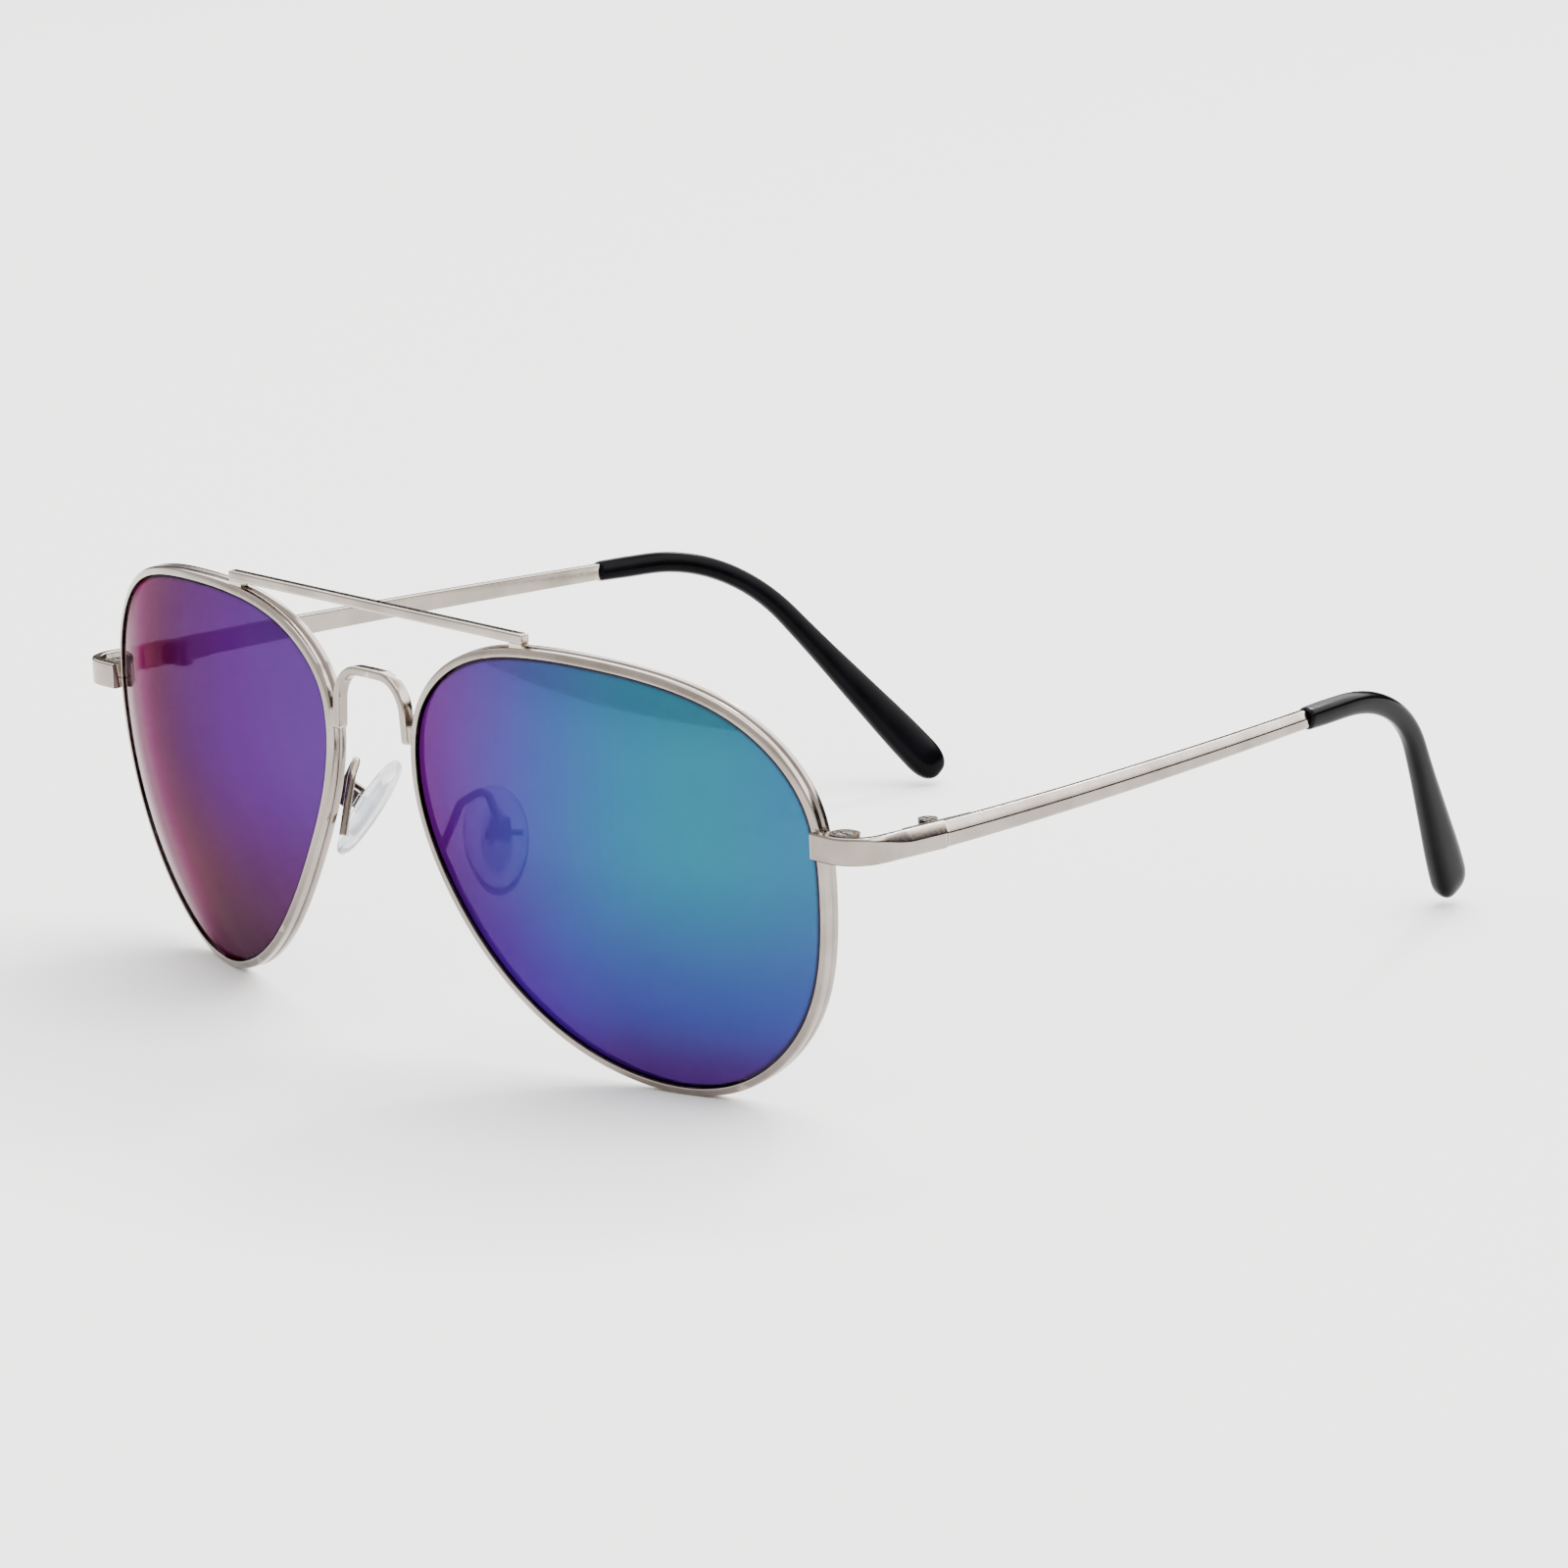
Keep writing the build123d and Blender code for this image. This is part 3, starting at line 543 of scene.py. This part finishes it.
# ---------------------------------------------------------------------------- Nose bridge
# A flattened nickel wire bent to an arch, slightly crowned along its top. Each leg is brazed
# to the inner edge of a rim through a small block with softened edges.
BRIDGE_SPAN = 6.55 * MM
BRIDGE_FOOT = 36.6 * MM
BRIDGE_CROWN = 43.85 * MM
BRIDGE_SPLAY = 0.6 * MM
BRIDGE_BEND = 4.0 * MM
CROWN_RISE = 0.25 * MM
BRIDGE_WIRE = np.array([1.1, 1.6]) * MM
BRIDGE_WIRE_EDGE = 0.35 * MM
BRIDGE_WIRE_END = 0.4 * MM
BRIDGE_FORWARD = 0.55 * MM
BRIDGE_BLOCK = np.array([1.6, 1.1, 2.4]) * MM
BLOCK_EDGE = 0.3 * MM
BLOCK_LAP = 0.2 * MM           # of each block over the middle of its leg

bridge_y = lens_y - BRIDGE_FORWARD
bridge_path = round_path(
    [(-BRIDGE_SPAN, bridge_y, BRIDGE_FOOT), (-BRIDGE_SPAN + BRIDGE_SPLAY, bridge_y, BRIDGE_CROWN),
     (BRIDGE_SPAN - BRIDGE_SPLAY, bridge_y, BRIDGE_CROWN), (BRIDGE_SPAN, bridge_y, BRIDGE_FOOT)],
    BRIDGE_BEND, 140,
)
crown = 1 - (bridge_path[:, 0] / BRIDGE_SPAN) ** 2
bridge_path[:, 2] += CROWN_RISE * np.clip(crown, 0, 1)
wire_section = soft_polygon(square_corners * BRIDGE_WIRE[::-1] / 2, BRIDGE_WIRE_EDGE)
bridge = piece_from_grid(
    "nose_bridge_wire",
    carry(bridge_path, rounded_ends(bridge_path, wire_section, BRIDGE_WIRE_END),
          np.array([0.0, 1.0, 0.0])),
)
bridge.data.materials.append(nickel)
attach(bridge, "front")
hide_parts("nose_bridge")

for side_name, side in SIDES.items():
    block_profile = soft_polygon(square_corners * BRIDGE_BLOCK[1:] / 2, BLOCK_EDGE)
    block_start = np.array([side * (BRIDGE_SPAN - BLOCK_LAP), bridge_y,
                            BRIDGE_FOOT + BRIDGE_BLOCK[2] / 2])
    block_path = end_steps(block_start, block_start + (side * BRIDGE_BLOCK[0], 0, 0),
                           BLOCK_EDGE, 8)
    block = piece_from_grid(
        f"{side_name}_bridge_block",
        carry(block_path, rounded_ends(block_path, block_profile, BLOCK_EDGE),
              np.array([0.0, 1.0, 0.0])),
    )
    block.data.materials.append(nickel)
    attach(block, "front")

# ---------------------------------------------------------------------------- Endpieces
# A flat nickel strip brazed across the rim, bent back round the corner of the face, and
# pressed from there on to the same ridged section as the temple.
STRIP_THICKNESS = 1.25 * MM
STRIP_BEND = 4.0 * MM
RIDGE_START = 0.3              # shares of the strip: where the ridge begins to rise
RIDGE_RUN = 0.45               # and how long it takes to reach its full form
RIDGE_CORNERS = np.array(
    [(-0.5, -0.5), (0.36, -0.5), (0.5, -0.38), (0.5, 0.06), (0.1, 0.5), (-0.5, 0.5)]
)
FLAT_CORNERS = np.array(
    [(-0.5, -0.5), (0.42, -0.5), (0.5, -0.46), (0.5, 0.46), (0.42, 0.5), (-0.5, 0.5)]
)
STRIP_ROUNDING = np.array([0.25, 0.12, 0.12, 0.16, 0.16, 0.25]) * MM


def ridged_profile(share_ridged, thickness, height):
    """Section of a strip, from flat (0) to ridged on its outer face (1), per step."""
    corners = FLAT_CORNERS + (RIDGE_CORNERS - FLAT_CORNERS) * share_ridged
    return soft_polygon(corners * (thickness, height), STRIP_ROUNDING, 5)


for side_name, side in SIDES.items():
    low, high = (np.array(corner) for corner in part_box("left_endpiece"))
    level_z = (low[2] + high[2]) / 2
    strip_path = round_path(
        [(low[0], low[1] + STRIP_THICKNESS / 2, level_z),
         (high[0] - STRIP_THICKNESS / 2, low[1] + STRIP_THICKNESS / 2, level_z),
         (high[0] - STRIP_THICKNESS / 2, high[1], level_z)],
        STRIP_BEND, 90,
    )
    strip_share = np.linspace(0, 1, len(strip_path))
    pressed = np.clip((strip_share - RIDGE_START) / RIDGE_RUN, 0, 1)
    pressed = pressed * pressed * (3 - 2 * pressed)
    sections = np.stack(
        [ridged_profile(share, STRIP_THICKNESS, high[2] - low[2]) for share in pressed]
    )
    along = np.gradient(strip_path, axis=0)
    outward = np.stack([along[:, 1], -along[:, 0], np.zeros(len(along))], axis=1)
    outward /= np.linalg.norm(outward, axis=1)[:, None]
    strip_grid = (
        strip_path[:, None]
        + sections[..., :1] * outward[:, None]
        + sections[..., 1:] * np.array([0.0, 0.0, 1.0])
    )
    strip = piece_from_grid(f"{side_name}_endpiece_strip", strip_grid * (side, 1, 1), sharp=28)
    strip.data.materials.append(nickel)
    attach(strip, "front")
    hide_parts(f"{side_name}_endpiece")

# ---------------------------------------------------------------------------- Small metalwork
# Rim locks, brow bar feet, pad boxes and hinge leaves are milled from nickel silver and
# plated with the frame. The screws are turned steel, left bare, so they look greyer.
lock_metal = plated_metal("plated_hinge_metal", "#706761", "#574f4a", 0.13, "#9c9183")
steel = plated_metal("turned_screw_steel", "#6f6963", "#524c48", 0.16, "#9b948b")
for part, material in (
    ("brow_foot", nickel), ("rim_lock_upper", lock_metal), ("rim_lock_lower", lock_metal),
    ("hinge_front_leaf", lock_metal), ("hinge_temple_leaf", lock_metal),
    ("pad_box", lock_metal), ("rim_screw", steel), ("hinge_screw", steel),
    ("pad_screw", steel),
):
    for side_name in SIDES:
        solid = frame["nodes"][f"{side_name}_{part}"]
        if not solid.material_slots:
            solid.data.materials.append(material)
        for slot in solid.material_slots:
            slot.material = material

# ---------------------------------------------------------------------------- Temples
# A nickel bar, ridged along its outer face, that tapers and closes in towards the ear. Its
# core wire runs on inside the black tip, out of sight, and has no mesh here.
BAR_LENGTH = 63.0 * MM
BAR_THICKNESS = 1.45 * MM
BAR_HEIGHTS = np.array([2.9, 2.1]) * MM
BAR_INWARD = 7.3 * MM
BAR_RISE = 0.75 * MM
INWARD_POWER = 1.55
SEAM_GAP = 0.04 * MM

side_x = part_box("left_endpiece")[1][0]
bar_share = np.concatenate([np.linspace(0, 0.012, 5), np.linspace(0.012, 1, 70)[1:]])
bar_line = np.stack(
    [side_x - BAR_THICKNESS / 2 - BAR_INWARD * bar_share**INWARD_POWER,
     hinge_at[1] + SEAM_GAP + (BAR_LENGTH - SEAM_GAP) * bar_share,
     hinge_at[2] + BAR_RISE * bar_share], axis=1
)
bar_height = BAR_HEIGHTS[0] + (BAR_HEIGHTS[1] - BAR_HEIGHTS[0]) * bar_share
bar_sections = np.stack([ridged_profile(1.0, BAR_THICKNESS, tall) for tall in bar_height])
bar_grid = (
    bar_line[:, None]
    + bar_sections[..., :1] * np.array([1.0, 0.0, 0.0])
    + bar_sections[..., 1:] * np.array([0.0, 0.0, 1.0])
)
for side_name, side in SIDES.items():
    temple = piece_from_grid(f"{side_name}_temple_bar", bar_grid * (side, 1, 1), sharp=28)
    temple.data.materials.append(nickel)
    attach(temple, f"{side_name}_temple")
    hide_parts(f"{side_name}_temple")

# ---------------------------------------------------------------------------- Temple tips
# A black tip moulded in cellulose acetate, pushed over the core wire, bent down behind the
# ear and tumbled to a gloss. It widens to a paddle with a blunt round end.
TIP_STRAIGHT = 19.5 * MM
TIP_BEND = 24.0 * MM
TIP_SWING = np.array([-14.6, 22.9]) * MM
TIP_END_HEIGHT = 1.2 * MM
TIP_MOUTH = 0.012              # share of its length over which the mouth is rounded
TIP_MOUTH_SIZE = 0.86          # its section there, as a share of the full one
TIP_CLOSES_AT = 0.93           # share of its length where the blunt end begins
TIP_END_POWER = 2.6            # 2 would close it as an ellipse, more is blunter
TIP_SQUARISH = 0.72            # 1 gives a round section, less a squarer one
TIP_SHARES = (0.0, TIP_MOUTH, 0.1, 0.25, 0.42, 0.58, 0.75, 0.88, 1.0)
TIP_THICKNESS = np.array([2.3, 2.5, 2.5, 2.1, 2.1, 2.4, 2.8, 3.15, 3.2]) * MM
TIP_WIDTH = np.array([2.5, 2.75, 2.75, 2.6, 2.6, 3.0, 4.1, 4.95, 5.0]) * MM

mouth = bar_line[-1]
slope = INWARD_POWER * BAR_INWARD / BAR_LENGTH
run = np.array([-slope, 1.0, 0.0]) / np.hypot(slope, 1)
corner = mouth + run * TIP_STRAIGHT
tip_end = np.array([corner[0] + TIP_SWING[0], corner[1] + TIP_SWING[1], TIP_END_HEIGHT])
tip_even = round_path([mouth, corner, tip_end], TIP_BEND, 400)
tip_share = np.concatenate(
    [np.linspace(0, 0.02, 6), np.linspace(0.02, TIP_CLOSES_AT, 90)[1:],
     TIP_CLOSES_AT + (1 - TIP_CLOSES_AT) * np.sin(np.linspace(0, np.pi / 2, 18))[1:]]
)
even_share = np.linspace(0, 1, len(tip_even))
tip_path = np.stack([np.interp(tip_share, even_share, tip_even[:, k]) for k in range(3)], axis=1)
# Each size is blended between the stations by a running mean over seven even steps.
blend_steps = np.linspace(0, 1, 61)
smooth_thickness = np.convolve(
    np.pad(np.interp(blend_steps, TIP_SHARES, TIP_THICKNESS), 3, mode="edge"), np.ones(7) / 7,
    mode="valid",
)
smooth_width = np.convolve(
    np.pad(np.interp(blend_steps, TIP_SHARES, TIP_WIDTH), 3, mode="edge"), np.ones(7) / 7,
    mode="valid",
)
# The end closes as (1 - x^n)^(1/n), and the mouth opens as the sine of an arc. x stops just
# short of 1, so that the last row keeps a little size.
closing = np.clip((tip_share - TIP_CLOSES_AT) / (1 - TIP_CLOSES_AT), 0, 0.9995)
closing = (1 - closing**TIP_END_POWER) ** (1 / TIP_END_POWER)
opening = np.sqrt(1 - (1 - np.clip(tip_share / TIP_MOUTH, 0, 1)) ** 2)
opening = TIP_MOUTH_SIZE + (1 - TIP_MOUTH_SIZE) * opening
angle = np.linspace(0, 2 * np.pi, 48, endpoint=False)
squarish = np.stack(
    [np.sign(np.cos(angle)) * np.abs(np.cos(angle)) ** TIP_SQUARISH,
     np.sign(np.sin(angle)) * np.abs(np.sin(angle)) ** TIP_SQUARISH], axis=1
)
tip_size = np.stack(
    [np.interp(tip_share, blend_steps, smooth_thickness),
     np.interp(tip_share, blend_steps, smooth_width)], axis=1
)
tip_size *= (closing * opening)[:, None] / 2
bend_across = np.cross(run, tip_end - corner)
bend_across /= np.linalg.norm(bend_across)
tip_grid = carry(tip_path, squarish[None] * tip_size[:, None], bend_across)


def black_acetate():
    """Moulded black acetate under a tumbled gloss: near black with a blue cast, and waves a
    few millimetres long that make its highlights wander."""
    name = "tumbled_black_acetate"
    acetate = new_material(name)
    where = node(acetate, "ShaderNodeTexCoord").outputs["Object"]
    cloud = node(acetate, "ShaderNodeTexNoise", [(where, "Vector")], Scale=1 / (4 * MM))
    tint = node(acetate, "ShaderNodeValToRGB", [(cloud.outputs[0], 0)])
    stops(tint, [(0.3, "#030304"), (0.7, "#07070b")])
    rub = node(acetate, "ShaderNodeTexNoise", [(where, "Vector")], Scale=1 / (0.5 * MM), Detail=3.0)
    gloss = node(
        acetate, "ShaderNodeMapRange", [(rub.outputs[0], "Value")],
        From_Min=0.3, From_Max=0.7, To_Min=0.14, To_Max=0.19,
    )
    wave = node(
        acetate, "ShaderNodeBump", [(cloud.outputs[0], "Height")],
        Strength=0.06, Distance=0.1 * MM,
    )
    finish_surface(
        name,
        [(tint.outputs[0], "Base Color"), (gloss.outputs[0], "Roughness"),
         (wave.outputs[0], "Normal")],
        IOR=1.46, Specular_IOR_Level=0.045,
    )
    return acetate


acetate = black_acetate()
for side_name, side in SIDES.items():
    tip = piece_from_grid(f"{side_name}_tip_sleeve", tip_grid * (side, 1, 1), sharp=50)
    tip.data.materials.append(acetate)
    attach(tip, f"{side_name}_temple")
    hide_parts(f"{side_name}_temple_tip")

# ---------------------------------------------------------------------------- Pad arms
# A thin nickel wire brazed behind the rim, bent up and over in a swan neck, and down into
# the box that holds the pad.
ARM_RADIUS = 0.5 * MM
ARM_BEND = 1.2 * MM
ARM_POINTS = np.array([(9.1, 0.9, 22.9), (10.4, 3.6, 29.4), (12.2, 6.0, 31.1)]) * MM
PAD_MIDDLE = np.array([12.2, 7.2, 24.6]) * MM
PAD_UP = np.array([-0.447, 0.328, 0.834])
PAD_FACE = np.array([-0.727, 0.409, -0.552])
BOX_FLOOR = 3.975 * MM         # middle of the box's floor behind the middle of the pad
ARM_END_UP = 0.65 * MM         # end of the wire above the middle of the floor

pad_up = PAD_UP / np.linalg.norm(PAD_UP)
pad_face = PAD_FACE - pad_up * (PAD_FACE @ pad_up)
pad_face /= np.linalg.norm(pad_face)
pad_across = np.cross(pad_up, pad_face)
pad_middle = PAD_MIDDLE + (0, lens_y, 0)
arm_end = pad_middle - pad_face * BOX_FLOOR + pad_up * ARM_END_UP
arm_path = round_path([*(ARM_POINTS + (0, lens_y, 0)), arm_end], ARM_BEND, 90)
circle = np.stack([np.cos(angle), np.sin(angle)], axis=1)[::3] * ARM_RADIUS
arm_grid = carry(arm_path, circle, np.array([0.2, 1.0, 0.3]))
for side_name, side in SIDES.items():
    arm = piece_from_grid(f"{side_name}_pad_arm_wire", arm_grid * (side, 1, 1))
    arm.data.materials.append(lock_metal)
    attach(arm, "front")
    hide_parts(f"{side_name}_pad_arm")

# ---------------------------------------------------------------------------- Nose pads
# A soft clear silicone cushion, cast round a hard clear insert whose lug sits in the box.
# It is egg-shaped, thin at its rim and crowned on both faces.
PAD_HALF = np.array([7.6, 13.6, 2.2]) / 2 * MM
PAD_EDGE_POWER = 0.5           # 1 gives an ellipsoid, less a fuller edge
PAD_FACE_POWER = 0.8           # 1 gives an ellipsoid, less a flatter face
PAD_EGG = 0.1                  # share by which it is wider at its top, narrower at its foot

latitude = np.linspace(-np.pi / 2, np.pi / 2, 34)[1:-1, None]
longitude = np.linspace(0, 2 * np.pi, 72, endpoint=False)[None, :]
ring = np.cos(latitude) ** PAD_EDGE_POWER
pad_y = ring * np.sin(longitude)
pad_x = ring * np.cos(longitude) * (1 + PAD_EGG * pad_y)
pad_z = np.sign(np.sin(latitude)) * np.abs(np.sin(latitude)) ** PAD_FACE_POWER
pad_grid = (
    pad_middle
    + PAD_HALF[0] * pad_x[..., None] * pad_across
    + PAD_HALF[1] * pad_y[..., None] * pad_up
    + PAD_HALF[2] * pad_z[..., None] * pad_face
)


def clear_silicone(name, tint_low, tint_high, roughness):
    """Clear cast silicone or polycarbonate: it passes most light, bends it, and holds a faint
    blue-grey haze with a few cloudy patches."""
    silicone = new_material(name)
    where = node(silicone, "ShaderNodeTexCoord").outputs["Object"]
    cloud = node(silicone, "ShaderNodeTexNoise", [(where, "Vector")], Scale=1 / (2.5 * MM))
    tint = node(silicone, "ShaderNodeValToRGB", [(cloud.outputs[0], 0)])
    stops(tint, [(0.3, tint_low), (0.7, tint_high)])
    finish_surface(
        name, [(tint.outputs[0], "Base Color")],
        Roughness=roughness, IOR=1.36, Transmission_Weight=1.0, Alpha=0.7,
    )
    return silicone


silicone = clear_silicone("cast_clear_silicone", "#cdd2de", "#e6e9f1", 0.12)
clear_plastic = clear_silicone("moulded_clear_polycarbonate", "#b5bac6", "#d3d7e0", 0.05)
for side_name, side in SIDES.items():
    pad = piece_from_grid(f"{side_name}_silicone_pad", pad_grid * (side, 1, 1), sharp=80)
    pad.data.materials.append(silicone)
    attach(pad, f"{side_name}_nose_pad")
    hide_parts(f"{side_name}_nose_pad")
    insert = frame["nodes"][f"{side_name}_pad_insert"]
    if not insert.material_slots:
        insert.data.materials.append(clear_plastic)
    for slot in insert.material_slots:
        slot.material = clear_plastic

# ---------------------------------------------------------------------------- Studio
# A white table top under a large soft box, and a small back light for sharp highlights on
# the black tips. In the white room, the wall behind the glasses is dark at eye level with a
# wide lit window above, and the two give the metal its dark and white streaks.
FLOOR_HALF = 6.0               # metres
AIM_HEIGHT = 0.03              # metres, the middle of the glasses

floor_z = float(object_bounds()[0][2])
floor_mesh = bpy.data.meshes.new("table_top")
floor_mesh.from_pydata(
    [(-FLOOR_HALF, -FLOOR_HALF, floor_z), (FLOOR_HALF, -FLOOR_HALF, floor_z),
     (FLOOR_HALF, FLOOR_HALF, floor_z), (-FLOOR_HALF, FLOOR_HALF, floor_z)],
    [], [(0, 1, 2, 3)],
)
floor = bpy.data.objects.new("table_top", floor_mesh)
bpy.context.scene.collection.objects.link(floor)
new_material("matt_white_laminate")
finish_surface("matt_white_laminate", Base_Color=linear("#fbfbfa"), Roughness=0.9)
floor.data.materials.append(bpy.data.materials["matt_white_laminate"])


def soft_box(name, place, size, power):
    """A square area light at a place, facing the glasses."""
    light_data = bpy.data.lights.new(name, "AREA")
    light_data.energy = power
    light_data.size = size
    light = bpy.data.objects.new(name, light_data)
    back_axis = np.array(place) - (0, 0, AIM_HEIGHT)
    back_axis /= np.linalg.norm(back_axis)
    side_axis = np.cross([0.0, 1.0, 0.001], back_axis)
    side_axis /= np.linalg.norm(side_axis)
    axes = np.column_stack([side_axis, np.cross(back_axis, side_axis), back_axis])
    light.matrix_world = Matrix.Translation(place) @ Matrix(axes.tolist()).to_4x4()
    bpy.context.scene.collection.objects.link(light)


soft_box("overhead_soft_box", (0.15, 0.1, 1.3), 1.0, 16.0)
soft_box("small_back_light", (-0.4, 0.9, 0.9), 0.15, 6.0)

world = bpy.data.worlds.new("pale_room")
world.use_nodes = True
world.node_tree.nodes.clear()
direction = node(world, "ShaderNodeTexCoord").outputs["Generated"]
axes = node(world, "ShaderNodeSeparateXYZ", [(direction, 0)])
wall = node(world, "ShaderNodeValToRGB", [(axes.outputs[2], 0)])
stops(wall, [(0.0, "#171412"), (0.26, "#2b2624"), (0.38, "#f2f1f0"), (0.9, "#ffffff")])
behind = node(
    world, "ShaderNodeMapRange", [(axes.outputs[1], "Value")],
    interpolation_type="SMOOTHSTEP", From_Min=-0.15, From_Max=0.3,
)
room = node(
    world, "ShaderNodeMix", [(behind.outputs[0], 0), (wall.outputs[0], 7)], data_type="RGBA"
)
room.inputs[6].default_value = linear("#f2f0ee")
window = node(world, "ShaderNodeValToRGB", [(axes.outputs[2], 0)])
stops(window, [(0.32, "#000000"), (0.4, "#ffffff"), (0.72, "#ffffff"), (0.85, "#000000")])
lit = node(
    world, "ShaderNodeMath", [(window.outputs[0], 0), (behind.outputs[0], 1)],
    operation="MULTIPLY",
)
power = node(
    world, "ShaderNodeMapRange", [(lit.outputs[0], "Value")], To_Min=1.6, To_Max=8.0
)
glow = node(
    world, "ShaderNodeBackground", [(room.outputs[2], 0), (power.outputs[0], "Strength")]
)
node(world, "ShaderNodeOutputWorld", [(glow.outputs[0], 0)])
bpy.context.scene.world = world
